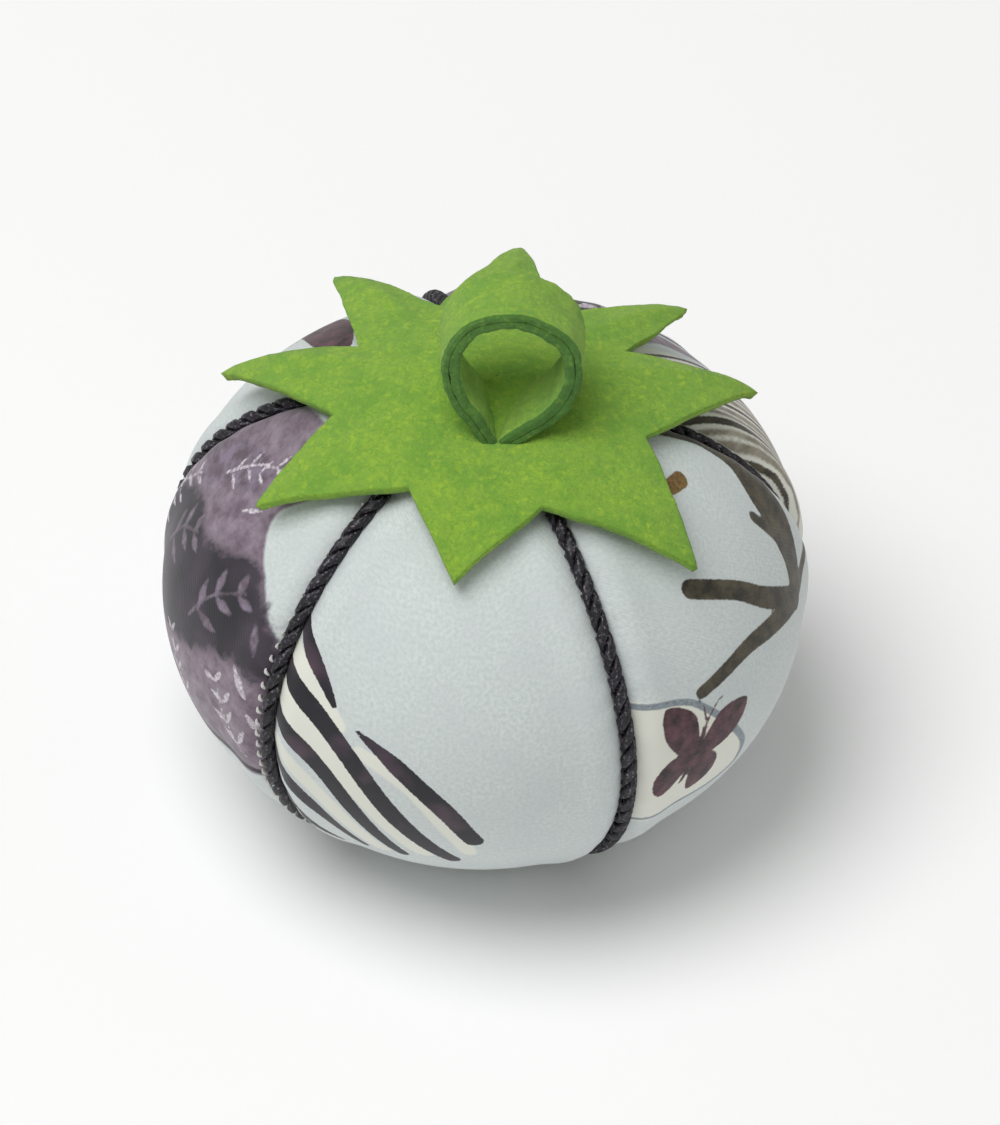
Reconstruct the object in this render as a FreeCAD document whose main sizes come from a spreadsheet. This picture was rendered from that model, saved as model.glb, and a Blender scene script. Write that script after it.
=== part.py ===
import FreeCAD, Part
import math
import os
import Sketcher

# A stuffed pin cushion shaped like a tomato: six sewn gores round a filling, a twisted
# cord laid in each seam, a felt leaf star and a folded felt loop for the stem.
# Millimetres. Z is up, the origin is the centre of the felt patch's underside, and -Y is
# the front. An azimuth runs from the front (-Y) towards the right (+X).

doc = FreeCAD.newDocument("pin_cushion")
sheet = doc.addObject("Spreadsheet::Sheet", "Sizes")
UP = FreeCAD.Vector(0, 0, 1)

SIZES = [
    ("cushion_width", 70.6, "across two opposite gore crests"),
    ("crown_height", 25.8, "widest girth up to the crown"),
    ("flat_drop", 24.6, "widest girth down to the flat underside"),
    ("valley_depth", 1.7, "how far a seam lies inside the crests"),
    ("cloth_thick", 0.5, "printed cotton with its seam allowance"),
    ("cloth_gap", 0.1, "between cloth and filling"),
    ("cord_dia", 1.9, "twisted seam cord"),
    ("cord_gap", 0.15, "cord clear of the cloth"),
    ("cord_top_reach", 11.0, "from the axis to a cord's upper end, under the star"),
    ("cord_end_gap", 1.2, "patch rim to a cord's lower end"),
    ("patch_dia", 34.0, "felt patch under the cushion"),
    ("patch_thick", 1.6, "felt patch"),
    ("patch_edge", 0.3, "chamfer round the patch's lower rim"),
    ("patch_overhang", 0.14, "patch rim beyond the flat underside, below the crests"),
    ("knot_dia", 4.0, "button knot at each end of the centre tie"),
    ("knot_thick", 1.2, "button knot"),
    ("tie_dia", 1.2, "twine drawn through the middle"),
    ("tie_gap", 0.2, "room round the tie and its knots"),
    ("star_reach", 30.0, "axis to the longest leaf tip"),
    ("star_thick", 1.1, "felt star"),
    ("star_gap", 0.1, "star's underside clear of the cord ends"),
    ("star_flare", 5.7, "the star's dome, outside the gore crests"),
    ("loop_width", 14.3, "stem loop, across its bow"),
    ("loop_pinch", 2.6, "pinched end to the full round of the loop's bow"),
    ("loop_deep", 8.5, "width of the folded felt strip"),
    ("loop_thick", 1.6, "both layers of the strip"),
    ("layer_gap", 0.1, "between the strip's two layers"),
    ("loop_lean", 10.0, "degrees that the loop leans back"),
    ("loop_roll", 7.0, "degrees that the loop leans to the right"),
    ("loop_right", 1.4, "pinched end, to the right of the axis"),
    ("loop_front", 8.3, "pinched end, in front of the axis"),
    ("loop_sunk", 0.2, "pinched end, below the star's underside"),
    ("slot_gap", 0.15, "room round the loop in the star's slot"),
    ("thread_dia", 0.35, "sewing thread"),
    ("thread_gap", 0.03, "thread clear of the cloth"),
    ("cord_stitch_long", 1.0, "stitch beside a seam cord"),
    ("cord_stitch_pitch", 1.6, "along a seam cord"),
    ("patch_stitch_count", 28, "stitches round the patch"),
    ("patch_stitch_long", 1.1, "stitch up the patch's rim"),
    ("loop_stitch_count", 5, "stitches along the loop's pinched end"),
    ("loop_stitch_long", 1.2, "stitch beside the loop's pinched end"),
    ("loop_stitch_rise", 2.5, "a stitch's foot, above the star's thickness"),
    ("loop_stitch_gap", 0.05, "stitch clear of the loop"),
]
for row, (alias, value, meaning) in enumerate(SIZES, 1):
    sheet.set("A%d" % row, alias)
    sheet.set("B%d" % row, str(value))
    sheet.set("C%d" % row, meaning)
    sheet.setAlias("B%d" % row, alias)

# The gores are cut unevenly by hand, so each seam has its own azimuth in degrees.
SEAMS = [
    ("front_left", -43.0),
    ("front_right", 27.0),
    ("right", 95.0),
    ("back_right", 145.0),
    ("back_left", 192.0),
    ("left", 255.5),
]
# Each gore is named for where it faces, and lies between a seam and the next one.
GORES = ["front", "front_right", "back_right", "back", "back_left", "front_left"]

# Leaf star, cut freehand: azimuth in degrees and reach as a share of the longest tip.
STAR = [
    (-8, 0.83), (21, 0.58), (50, 0.95), (72, 0.58), (105, 1.0), (115, 0.55),
    (130, 0.94), (149, 0.46), (172, 0.96), (200, 0.47), (214, 0.95), (240, 0.51),
    (250, 1.0), (280, 0.59), (296, 0.9), (329, 0.55),
]

for row, (name, azimuth) in enumerate(SEAMS, len(SIZES) + 1):
    sheet.set("A%d" % row, "seam_" + name)
    sheet.set("B%d" % row, str(azimuth))
    sheet.set("C%d" % row, "azimuth in degrees")
    sheet.setAlias("B%d" % row, "seam_" + name)
doc.recompute()

ALIASES = {alias for alias, _, _ in SIZES} | {"seam_" + name for name, _ in SEAMS}

# Heights and sizes that follow from the sheet. BELLY is how deep the belly would close
# below the girth, so that it is cut flat just inside the patch's rim.
GIRTH = "(flat_drop + patch_thick)"
BELLY = ("(flat_drop / sqrt(1 - ((patch_dia / 2 - patch_overhang)"
         " / (cushion_width / 2))^2))")
LOOP_NECK = "(loop_width / 2 + loop_pinch)"
STAR_RISE = "(crown_height + cord_dia + star_gap)"
STAR_SPREAD = "(cushion_width / 2 + star_flare)"

# How closely the cord's arcs follow its oval, and the latitudes in degrees between which
# the cords are stitched down.
ARC_TOLERANCE = 0.02
STITCH_TOP = 62
STITCH_BOTTOM = -48

nodes = []


def size(alias):
    return float(sheet.get(alias))


def value(formula):
    """What a formula of sizes comes to."""
    return float(sheet.evalExpression(spelled(formula)))


def bind(obj, **expressions):
    """Binds properties to formulas, in which each size is written as its bare alias."""
    for prop, formula in expressions.items():
        obj.setExpression(prop, spelled(formula))


def spelled(formula):
    words = []
    word = ""
    for letter in formula + " ":
        if letter.isalnum() or letter == "_":
            word += letter
            continue
        words.append("Sizes." + word if word in ALIASES else word)
        words.append(letter)
        word = ""
    return "".join(words)


def place(obj, height="0", azimuth="0", along="Z"):
    """Lifts a solid to a height, and turns it about the upright axis."""
    obj.setExpression("Placement.Base.z", spelled(height))
    obj.Placement.Rotation = FreeCAD.Rotation(UP, 0)
    obj.setExpression("Placement.Rotation.Axis.z", "1")
    obj.setExpression("Placement.Rotation.Angle", spelled("(%s) * 1deg" % azimuth))
    return obj


def boolean(kind, name, *shapes):
    obj = doc.addObject("Part::" + kind, name)
    if kind.startswith("Multi"):
        obj.Shapes = list(shapes)
    else:
        obj.Base, obj.Tool = shapes
    return obj


def keep(obj, label):
    obj.Label = label
    nodes.append(obj)
    return obj


def cylinder(name, radius, height, base="0", azimuth="0", angle="360"):
    obj = doc.addObject("Part::Cylinder", name)
    bind(obj, Radius=radius, Height=height, Angle=angle)
    return place(obj, base, azimuth)


# ---- the stuffed form ----------------------------------------------------------------

def seam_before(index):
    return "seam_" + SEAMS[index][0]


def seam_after(index):
    full_turn = " + 360" if index == len(SEAMS) - 1 else ""
    return "(seam_" + SEAMS[(index + 1) % len(SEAMS)][0] + full_turn + ")"


def gore_form(tag, index, inset, floor, hole):
    """The solid between two seams: half an ellipsoid over half a deeper one, cut flat.

    The poles are bored out first, so the seam planes never meet in a point.

    Every gore narrows to the same seam line, so its own side radius follows from its
    width: sin / sqrt(1/valley^2 - cos^2/crest^2) of half the angle between its seams.
    """
    half = "((%s - %s) / 2 * 1deg)" % (seam_after(index), seam_before(index))
    middle = "((%s + %s) / 2 - 90)" % (seam_after(index), seam_before(index))
    crest = "(cushion_width / 2 - %s)" % inset
    valley = "(cushion_width / 2 - valley_depth - %s)" % inset
    side = "sin(%s) / sqrt(1 / %s^2 - cos(%s)^2 / %s^2)" % (half, valley, half, crest)
    halves = []
    for part, low, high, rise in (
        ("top", 0, 90, "crown_height"),
        ("bottom", -90, 0, BELLY),
    ):
        dome = doc.addObject("Part::Ellipsoid", "%s_%s" % (tag, part))
        dome.Angle1, dome.Angle2 = low, high
        bind(dome, Radius1="%s - %s" % (rise, inset), Radius2=crest, Radius3=side)
        halves.append(place(dome, GIRTH, middle))
    bore = cylinder(tag + "_bore", hole, "2 * cushion_width")
    whole = boolean("Cut", tag + "_whole", boolean("Fuse", tag + "_oval", *halves), bore)
    slice_angle = "%s - %s" % (seam_after(index), seam_before(index))
    wedge = cylinder(tag + "_wedge", "cushion_width", "cushion_width", floor,
                     seam_before(index) + " - 90", slice_angle)
    return boolean("Common", tag, whole, wedge)


def inner_form(tag, index):
    """The hollow of a gore panel, left whole so that it cuts through both seam edges."""
    solid = gore_form(tag, index, "cloth_thick", "patch_thick + cloth_thick", "tie_dia / 2")
    whole = solid.Base
    block = cylinder(tag + "_block", "cushion_width", "cushion_width",
                     "patch_thick + cloth_thick")
    wedge = solid.Tool
    doc.removeObject(solid.Name)
    doc.removeObject(wedge.Name)
    return boolean("Common", tag, whole, block)


def make_gores():
    for index, name in enumerate(GORES):
        outer = gore_form("gore_" + name, index, "0", "patch_thick",
                          "knot_dia / 2 + tie_gap")
        hollow = inner_form("hollow_" + name, index)
        keep(boolean("Cut", "panel_" + name, outer, hollow), "gore_panel_" + name)


def make_filling():
    inset = "(cloth_thick + cloth_gap)"
    lumps = [gore_form("lump_" + name, index, inset, "patch_thick + " + inset,
                       "tie_dia / 2 + tie_gap")
             for index, name in enumerate(GORES)]
    heap = boolean("MultiFuse", "lumps", *lumps)
    heap.Refine = True
    hole = tie_form("tie_hole", "tie_gap")
    keep(boolean("Cut", "stuffing", heap, hole), "filling")


def tie_form(tag, gap):
    """Twine through the middle with a button knot at each end, sunk in the cloth."""
    top = "(%s + crown_height)" % GIRTH
    twine = cylinder(tag + "_twine", "tie_dia / 2 + " + gap,
                     "%s - patch_thick" % top, "patch_thick")
    low = cylinder(tag + "_low", "knot_dia / 2 + " + gap, "knot_thick + 2 * " + gap,
                   "patch_thick")
    high = cylinder(tag + "_high", "knot_dia / 2 + " + gap, "knot_thick + 2 * " + gap,
                    "%s - knot_thick - 2 * %s" % (top, gap))
    return boolean("MultiFuse", tag, twine, low, high)


# ---- cords ---------------------------------------------------------------------------

def cord_line():
    """Tangent arcs down one seam, in the XZ plane: from under the star to the patch."""
    lift = size("cord_dia") / 2 + size("cord_gap")
    reach = value("cushion_width / 2 - valley_depth") + lift
    stops = [(size("crown_height") + lift, size("cord_top_reach"), 1),
             (value(BELLY) + lift, value("patch_dia / 2 + cord_end_gap"), -1)]
    edges = []
    for rise, end, sign in stops:
        oval = Part.Ellipse(FreeCAD.Vector(), max(reach, rise), min(reach, rise))
        turn = FreeCAD.Placement(FreeCAD.Vector(0, 0, value(GIRTH)),
                                 FreeCAD.Rotation(FreeCAD.Vector(1, 0, 0), 90 * sign))
        stop = math.acos(end / reach)
        arcs = Part.ArcOfEllipse(oval, 0, stop).toBSpline().toBiArcs(ARC_TOLERANCE)
        run = [arc.toShape() for arc in arcs]
        for edge in run:
            edge.transformShape(turn.toMatrix())
        edges = list(reversed(run)) + edges if sign > 0 else edges + run
    return Part.Wire(Part.__sortEdges__(edges))


def make_cords():
    route = cord_line()
    start = route.OrderedVertexes[0].Point
    first = route.OrderedEdges[0]
    heading = first.tangentAt(first.FirstParameter)
    if (first.valueAt(first.FirstParameter) - start).Length > ARC_TOLERANCE:
        heading = first.tangentAt(first.LastParameter) * -1
    for name, _ in SEAMS:
        spine = doc.addObject("Part::Feature", "route_" + name)
        spine.Shape = route
        ring = doc.addObject("Part::Circle", "section_" + name)
        bind(ring, Radius="cord_dia / 2")
        turn = FreeCAD.Rotation(UP, size("seam_" + name) - 90)
        spine.Placement = FreeCAD.Placement(FreeCAD.Vector(), turn)
        ring.Placement = FreeCAD.Placement(
            turn.multVec(start), turn * FreeCAD.Rotation(UP, heading))
        sweep = doc.addObject("Part::Sweep", "sweep_" + name)
        sweep.Sections = [ring]
        sweep.Spine = (spine, ["Edge%d" % (n + 1) for n in range(len(route.Edges))])
        sweep.Solid = True
        sweep.Frenet = False
        keep(sweep, "seam_cord_" + name)
    doc.recompute()
    bends = [edge.Curve.Radius for edge in route.Edges if hasattr(edge.Curve, "Radius")]
    print("cord length %.1f, tightest bend %.1f" % (route.Length, min(bends)))


def cover_point(azimuth, latitude):
    """A point of the cloth's outside and the outward direction there."""
    crest = size("cushion_width") / 2
    valley = crest - size("valley_depth")
    starts = [size("seam_" + name) for name, _ in SEAMS]
    starts.append(starts[0] + 360)
    azimuth = (azimuth - starts[0]) % 360 + starts[0]
    low, high = next(pair for pair in zip(starts, starts[1:]) if azimuth <= pair[1])
    half = math.radians(high - low) / 2
    side = math.sin(half) / math.sqrt(1 / valley ** 2 - (math.cos(half) / crest) ** 2)
    off = math.radians(azimuth - (low + high) / 2)
    reach = 1 / math.hypot(math.cos(off) / crest, math.sin(off) / side)
    rise = size("crown_height") if latitude > 0 else value(BELLY)
    lat = math.radians(latitude)
    x, y, z = (reach * math.cos(lat) * math.cos(off),
               reach * math.cos(lat) * math.sin(off), rise * math.sin(lat))
    outward = FreeCAD.Vector(x / crest ** 2, y / side ** 2, z / rise ** 2).normalize()
    turn = FreeCAD.Rotation(UP, (low + high) / 2 - 90)
    point = FreeCAD.Vector(x, y, z + value(GIRTH))
    return turn.multVec(point), turn.multVec(outward)


def make_cord_stitches():
    """Slip stitches beside each cord, on its left as seen from outside."""
    pitch, length = size("cord_stitch_pitch"), size("cord_stitch_long")
    radius = size("thread_dia") / 2
    beside = size("cord_dia") / 2 + length / 2 + size("thread_gap")
    lift = radius + size("thread_gap")
    reach = value("cushion_width / 2 - valley_depth")
    for name, _ in SEAMS:
        seam = size("seam_" + name)
        bars = []
        latitude = STITCH_TOP
        while latitude > STITCH_BOTTOM:
            off = math.degrees(beside / (reach * math.cos(math.radians(latitude))))
            point, outward = cover_point(seam - off, latitude)
            ahead, _ = cover_point(seam - off, latitude - 1)
            along = (ahead - point).normalize()
            across = outward.cross(along).normalize()
            foot = point + outward * lift - across * (length / 2)
            bars.append(Part.makeCylinder(radius, length, foot, across))
            latitude -= pitch / (ahead - point).Length
        group = doc.addObject("Part::Feature", "stitches_" + name)
        group.Shape = Part.makeCompound(bars)
        group.Placement = FreeCAD.Placement()
        keep(group, "cord_stitches_" + name)


# ---- felt patch and centre tie -------------------------------------------------------

def make_patch():
    body = doc.addObject("PartDesign::Body", "patch")
    sketch = add_sketch(body, "patch_outline", "XY_Plane")
    sketch.addGeometry(Part.Circle(FreeCAD.Vector(), UP, size("patch_dia") / 2))
    sketch.addConstraint(Sketcher.Constraint("Coincident", 0, 3, -1, 1))
    drive(sketch, Sketcher.Constraint("Radius", 0, size("patch_dia") / 2),
          "rim", "patch_dia / 2")
    pad = add_pad(body, "patch_felt", sketch, "patch_thick")
    doc.recompute()
    edge = doc.addObject("PartDesign::Chamfer", "patch_edge")
    body.addObject(edge)
    lower = [n for n, e in enumerate(pad.Shape.Edges, 1)
             if e.Vertexes[0].Z < size("patch_thick") / 2 and e.Closed]
    edge.Base = (pad, ["Edge%d" % n for n in lower])
    edge.setExpression("Size", spelled("patch_edge"))
    body.Tip = edge
    keep(body, "base_patch")


def make_patch_stitches():
    count = int(size("patch_stitch_count"))
    radius = size("thread_dia") / 2
    out = size("patch_dia") / 2 + radius + size("thread_gap")
    tall = size("patch_stitch_long")
    bars = []
    for index in range(count):
        turn = math.radians(360 * (index + 0.5) / count)
        foot = FreeCAD.Vector(out * math.cos(turn), out * math.sin(turn),
                              size("patch_thick") - tall)
        bars.append(Part.makeCylinder(radius, tall, foot, UP))
    group = doc.addObject("Part::Feature", "patch_sewing")
    group.Shape = Part.makeCompound(bars)
    group.Placement = FreeCAD.Placement()
    keep(group, "patch_stitches")


# ---- leaf star -----------------------------------------------------------------------

def add_sketch(body, name, role):
    sketch = body.newObject("Sketcher::SketchObject", name)
    plane = next(f for f in body.Origin.OriginFeatures if f.Role == role)
    sketch.AttachmentSupport = [(plane, "")]
    sketch.MapMode = "FlatFace"
    return sketch


def drive(sketch, constraint, name, formula):
    index = sketch.addConstraint(constraint)
    sketch.renameConstraint(index, name)
    sketch.setExpression("Constraints." + name, spelled(formula))


def add_pad(body, name, sketch, length):
    pad = body.newObject("PartDesign::Pad", name)
    pad.Profile = sketch
    pad.setExpression("Length", spelled(length))
    return pad


def star_dome(tag, extra):
    """Half the ellipsoid that the star's underside, or its top, is bent to."""
    dome = doc.addObject("Part::Ellipsoid", tag)
    dome.Angle1, dome.Angle2 = 0, 90
    bind(dome, Radius1=STAR_RISE + extra, Radius2=STAR_SPREAD + extra,
         Radius3=STAR_SPREAD + extra)
    return place(dome, GIRTH)


def make_star():
    body = doc.addObject("PartDesign::Body", "star_blank")
    sketch = add_sketch(body, "star_outline", "XY_Plane")
    points = []
    for azimuth, share in STAR:
        turn = math.radians(azimuth)
        reach = share * size("star_reach")
        points.append(FreeCAD.Vector(reach * math.sin(turn), -reach * math.cos(turn), 0))
    for here, there in zip(points, points[1:] + points[:1]):
        sketch.addGeometry(Part.LineSegment(here, there))
    for index in range(len(points)):
        sketch.addConstraint(Sketcher.Constraint(
            "Coincident", index, 2, (index + 1) % len(points), 1))
    add_pad(body, "star_prism", sketch, "2 * cushion_width")
    bend = boolean("Cut", "star_bend", star_dome("star_top", " + star_thick"),
                   star_dome("star_under", ""))
    leaf = boolean("Common", "star_leaf", body, bend)
    keep(boolean("Cut", "star", leaf, teardrop_block("loop_slot", "slot_gap")),
         "leaf_star")


# ---- stem loop -----------------------------------------------------------------------

def draw_teardrop(sketch, tag, inset):
    """A round bow with two tangent sides that meet at a point on the Y axis."""
    middle = value(LOOP_NECK)
    slant = loop_slant()
    shrink = value(inset)
    radius = size("loop_width") / 2 - shrink
    point = FreeCAD.Vector(0, shrink / math.sin(slant), 0)
    ends = [FreeCAD.Vector(side * radius * math.cos(slant),
                           middle - radius * math.sin(slant), 0) for side in (1, -1)]
    circle = Part.Circle(FreeCAD.Vector(0, middle, 0), UP, radius)
    arc = sketch.addGeometry(Part.ArcOfCircle(circle, -slant, math.pi + slant))
    right = sketch.addGeometry(Part.LineSegment(ends[0], point))
    left = sketch.addGeometry(Part.LineSegment(ends[1], point))
    add = sketch.addConstraint
    add(Sketcher.Constraint("PointOnObject", arc, 3, -2))
    add(Sketcher.Constraint("Coincident", right, 2, left, 2))
    add(Sketcher.Constraint("PointOnObject", right, 2, -2))
    add(Sketcher.Constraint("Tangent", arc, 1, right, 1))
    add(Sketcher.Constraint("Tangent", arc, 2, left, 1))
    drive(sketch, Sketcher.Constraint("Radius", arc, radius), tag + "_bow",
          "loop_width / 2 - (%s)" % inset)
    drive(sketch, Sketcher.Constraint("DistanceY", -1, 1, arc, 3, middle),
          tag + "_middle", LOOP_NECK)
    drive(sketch, Sketcher.Constraint("DistanceY", -1, 1, right, 2, point.y),
          tag + "_point", "(%s) * %s / (loop_width / 2)" % (inset, LOOP_NECK))


def loop_slant():
    """Angle of the loop's straight sides from its middle line."""
    return math.asin(size("loop_width") / 2 / value(LOOP_NECK))


def loop_placement():
    foot = FreeCAD.Vector(size("loop_right"), -size("loop_front"),
                          value("%s + %s - loop_sunk" % (GIRTH, STAR_RISE)))
    upright = FreeCAD.Rotation(FreeCAD.Vector(1, 0, 0), 90)
    lean = FreeCAD.Rotation(FreeCAD.Vector(1, 0, 0), -size("loop_lean"))
    roll = FreeCAD.Rotation(FreeCAD.Vector(0, 1, 0), size("loop_roll"))
    return FreeCAD.Placement(foot, lean * roll * upright)


def teardrop_block(tag, gap):
    """The solid teardrop that the loop fills, grown by a gap on every side."""
    body = doc.addObject("PartDesign::Body", tag)
    sketch = add_sketch(body, tag + "_outline", "XY_Plane")
    draw_teardrop(sketch, "outer", "-" + gap)
    pad = add_pad(body, tag + "_pad", sketch, "loop_deep + 2 * " + gap)
    pad.Reversed = True
    place_loop = loop_placement()
    shift = FreeCAD.Placement(FreeCAD.Vector(0, 0, size(gap)), FreeCAD.Rotation())
    body.Placement = place_loop * shift
    return body


def make_loop():
    """One strip folded double along its length, bent round to a teardrop."""
    body = doc.addObject("PartDesign::Body", "loop")
    sketch = add_sketch(body, "loop_outline", "XY_Plane")
    draw_teardrop(sketch, "outer", "0")
    draw_teardrop(sketch, "inner", "loop_thick")
    strip = add_pad(body, "loop_strip", sketch, "loop_deep")
    strip.Reversed = True
    doc.recompute()
    slit = add_sketch(body, "loop_slit", "XY_Plane")
    draw_teardrop(slit, "outer", "(loop_thick - layer_gap) / 2")
    draw_teardrop(slit, "inner", "(loop_thick + layer_gap) / 2")
    cut = body.newObject("PartDesign::Pocket", "loop_layers")
    cut.Profile = slit
    cut.setExpression("Length", spelled("loop_deep - (loop_thick - layer_gap) / 2"))
    body.Tip = cut
    body.Placement = loop_placement()
    keep(body, "stem_loop")


def make_loop_stitches():
    """Short stitches that catch the pinched end of the loop to the star's slot."""
    count = int(size("loop_stitch_count"))
    radius = size("thread_dia") / 2
    slant = loop_slant()
    rise = value("star_thick + loop_stitch_rise")
    beside = radius + size("loop_stitch_gap")
    sideways = rise * math.tan(slant) + beside / math.cos(slant)
    spot = loop_placement()
    bars = []
    for index in range(count):
        depth = size("loop_deep") * (index + 0.5) / count
        for side in (1, -1):
            foot = FreeCAD.Vector(side * sideways, rise, -depth)
            along = FreeCAD.Vector(side * math.sin(slant), math.cos(slant), 0)
            bars.append(Part.makeCylinder(radius, size("loop_stitch_long"),
                                          spot.multVec(foot),
                                          spot.Rotation.multVec(along)))
    group = doc.addObject("Part::Feature", "loop_sewing")
    group.Shape = Part.makeCompound(bars)
    group.Placement = FreeCAD.Placement()
    keep(group, "stem_stitches")


make_gores()
make_filling()
keep(tie_form("tie", "0"), "centre_tie")
make_cords()
make_cord_stitches()
make_patch()
make_patch_stitches()
make_star()
make_loop()
make_loop_stitches()
doc.recompute()

# ---- checks and export ---------------------------------------------------------------

faults = [obj.Name for obj in doc.Objects
          if "Invalid" in obj.State or "Error" in obj.State]
for node in nodes:
    if node.Shape.isNull() or not node.Shape.isValid():
        faults.append(node.Label)
if faults:
    raise SystemExit("failed: " + ", ".join(faults))
os.makedirs("parts", exist_ok=True)
for node in nodes:
    node.Shape.exportStep("parts/%s.step" % node.Label)
    print("%-28s %2d solids %9.1f mm3" % (node.Label, len(node.Shape.Solids),
                                          node.Shape.Volume))
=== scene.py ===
import math

import bmesh
import bpy
import numpy as np
from mathutils import Matrix, Vector, noise


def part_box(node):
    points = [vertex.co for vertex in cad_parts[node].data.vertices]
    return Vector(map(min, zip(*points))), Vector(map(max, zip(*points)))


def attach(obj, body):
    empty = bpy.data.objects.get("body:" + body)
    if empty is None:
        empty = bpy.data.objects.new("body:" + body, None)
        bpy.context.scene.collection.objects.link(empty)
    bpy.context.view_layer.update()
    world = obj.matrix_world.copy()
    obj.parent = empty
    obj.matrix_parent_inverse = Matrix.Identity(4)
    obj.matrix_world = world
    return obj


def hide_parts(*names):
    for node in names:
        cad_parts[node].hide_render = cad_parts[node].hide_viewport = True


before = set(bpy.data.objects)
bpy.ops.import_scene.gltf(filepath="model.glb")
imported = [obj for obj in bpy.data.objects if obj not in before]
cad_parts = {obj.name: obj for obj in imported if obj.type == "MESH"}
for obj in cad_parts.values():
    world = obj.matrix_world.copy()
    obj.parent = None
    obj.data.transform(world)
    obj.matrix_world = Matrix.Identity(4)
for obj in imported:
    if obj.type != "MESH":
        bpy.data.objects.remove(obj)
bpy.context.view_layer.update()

# A stuffed pin cushion shaped like a tomato. Lengths below are in millimetres and are
# turned to metres where a mesh is written. An azimuth runs in degrees from the front
# (-Y) towards the right (+X); a latitude runs from the widest girth (0) to a pole (90).

MM = 0.001
UP = Vector((0, 0, 1))

# ---- sizes, the same as the frame's ---------------------------------------------------

CREST = 35.3            # axis to the crest of a gore, at the girth
VALLEY = 33.6           # axis to a seam, at the girth
CROWN_RISE = 25.8       # girth to crown
BELLY_DROP = 28.0       # girth to where the belly would close
GIRTH_Z = 26.2          # height of the girth above the table
PATCH_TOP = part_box("base_patch")[1][2] / MM
PATCH_RADIUS = (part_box("base_patch")[1][0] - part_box("base_patch")[0][0]) / 2 / MM
POLE_RADIUS = 2.3       # the gores' points stop this far from the axis
CORD_RADIUS = 0.95

SEAMS = {"front_left": -43.0, "front_right": 27.0, "right": 95.0,
         "back_right": 145.0, "back_left": 192.0, "left": 255.5}
GORES = ["front", "front_right", "back_right", "back", "back_left", "front_left"]
STARTS = list(SEAMS.values())
STOPS = STARTS[1:] + [STARTS[0] + 360]


# ---- small helpers ----------------------------------------------------------------------

def on_body(azimuth, latitude, crest=CREST, rise=CROWN_RISE):
    """A point of the stuffed form, in millimetres from the girth's centre."""
    azimuth = (azimuth - STARTS[0]) % 360 + STARTS[0]
    index = next(n for n in range(6) if azimuth <= STOPS[n] + 1e-9)
    half = math.radians(STOPS[index] - STARTS[index]) / 2
    side = math.sin(half) / math.sqrt(1 / VALLEY ** 2 - (math.cos(half) / crest) ** 2)
    off = math.radians(azimuth) - math.radians(STARTS[index] + STOPS[index]) / 2
    reach = 1 / math.hypot(math.cos(off) / crest, math.sin(off) / side)
    lat = math.radians(latitude)
    turn = math.radians(azimuth)
    height = rise if latitude > 0 else BELLY_DROP
    return Vector((reach * math.cos(lat) * math.sin(turn),
                   -reach * math.cos(lat) * math.cos(turn),
                   height * math.sin(lat)))


def smooth_line(points, spans=8, closed=False):
    """A Catmull-Rom line through given points, as an array."""
    points = [np.array(p, float) for p in points]
    count = len(points)
    out = []
    for n in range(count if closed else count - 1):
        near = [points[(n + k) % count] if closed else points[min(max(n + k, 0), count - 1)]
                for k in (-1, 0, 1, 2)]
        a, b, c, d = near
        for t in np.arange(spans) / spans:
            out.append(0.5 * (2 * b + (c - a) * t + (2 * a - 5 * b + 4 * c - d) * t ** 2
                              + (3 * b - a - 3 * c + d) * t ** 3))
    if not closed:
        out.append(points[-1])
    return np.array(out)


def step(value, low, high):
    """0 below low, 1 above high, and a smooth rise between."""
    t = min(max((value - low) / (high - low), 0.0), 1.0)
    return t * t * (3 - 2 * t)


def wobble(x, y, z, size):
    """Smooth noise from -1 to 1 that changes over the given size."""
    return noise.noise(Vector((x / size, y / size, z / size)))


def woven(bm, columns, rows, place):
    """Adds a grid whose corners go where place(column, row) says, in millimetres.

    Both shares run from 0 to 1 and are kept in a UV map. Edges that meet are merged.
    """
    uv = bm.loops.layers.uv.get("along") or bm.loops.layers.uv.new("along")
    made = bmesh.ops.create_grid(bm, x_segments=columns, y_segments=rows, size=0.5)
    for vert in made["verts"]:
        column, row = vert.co.x + 0.5, vert.co.y + 0.5
        for loop in vert.link_loops:
            loop[uv].uv = (column, row)
        vert.co = Vector(place(column, row)) * MM
    bmesh.ops.remove_doubles(bm, verts=made["verts"], dist=1e-6)
    return bm


def tube(bm, columns, rows, place):
    """A closed tube: rows run round it, columns along it, and its ends are filled."""
    woven(bm, columns, rows, place)
    ends = [edge for edge in bm.edges if edge.is_boundary]
    bmesh.ops.holes_fill(bm, edges=ends, sides=0)
    return bm


def finished(name, bm):
    """A closed or open shell as an object, facing outwards and shaded smooth."""
    bmesh.ops.recalc_face_normals(bm, faces=bm.faces)
    mesh = bpy.data.meshes.new(name)
    bm.to_mesh(mesh)
    bm.free()
    mesh.polygons.foreach_set("use_smooth", [True] * len(mesh.polygons))
    piece = bpy.data.objects.new(name, mesh)
    bpy.context.scene.collection.objects.link(piece)
    return piece


def keep(piece, slot, materials, *nodes):
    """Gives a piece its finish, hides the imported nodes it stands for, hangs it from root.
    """
    piece.data.materials.clear()
    for material in materials:
        piece.data.materials.append(material)
    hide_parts(*nodes)
    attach(piece, "root")


# ---- materials --------------------------------------------------------------------------

def colour(code):
    """An sRGB hex colour as linear numbers."""
    channels = [int(code[n:n + 2], 16) / 255 for n in (1, 3, 5)]
    return [c / 12.92 if c <= 0.04045 else ((c + 0.055) / 1.055) ** 2.4
            for c in channels] + [1.0]


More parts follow.
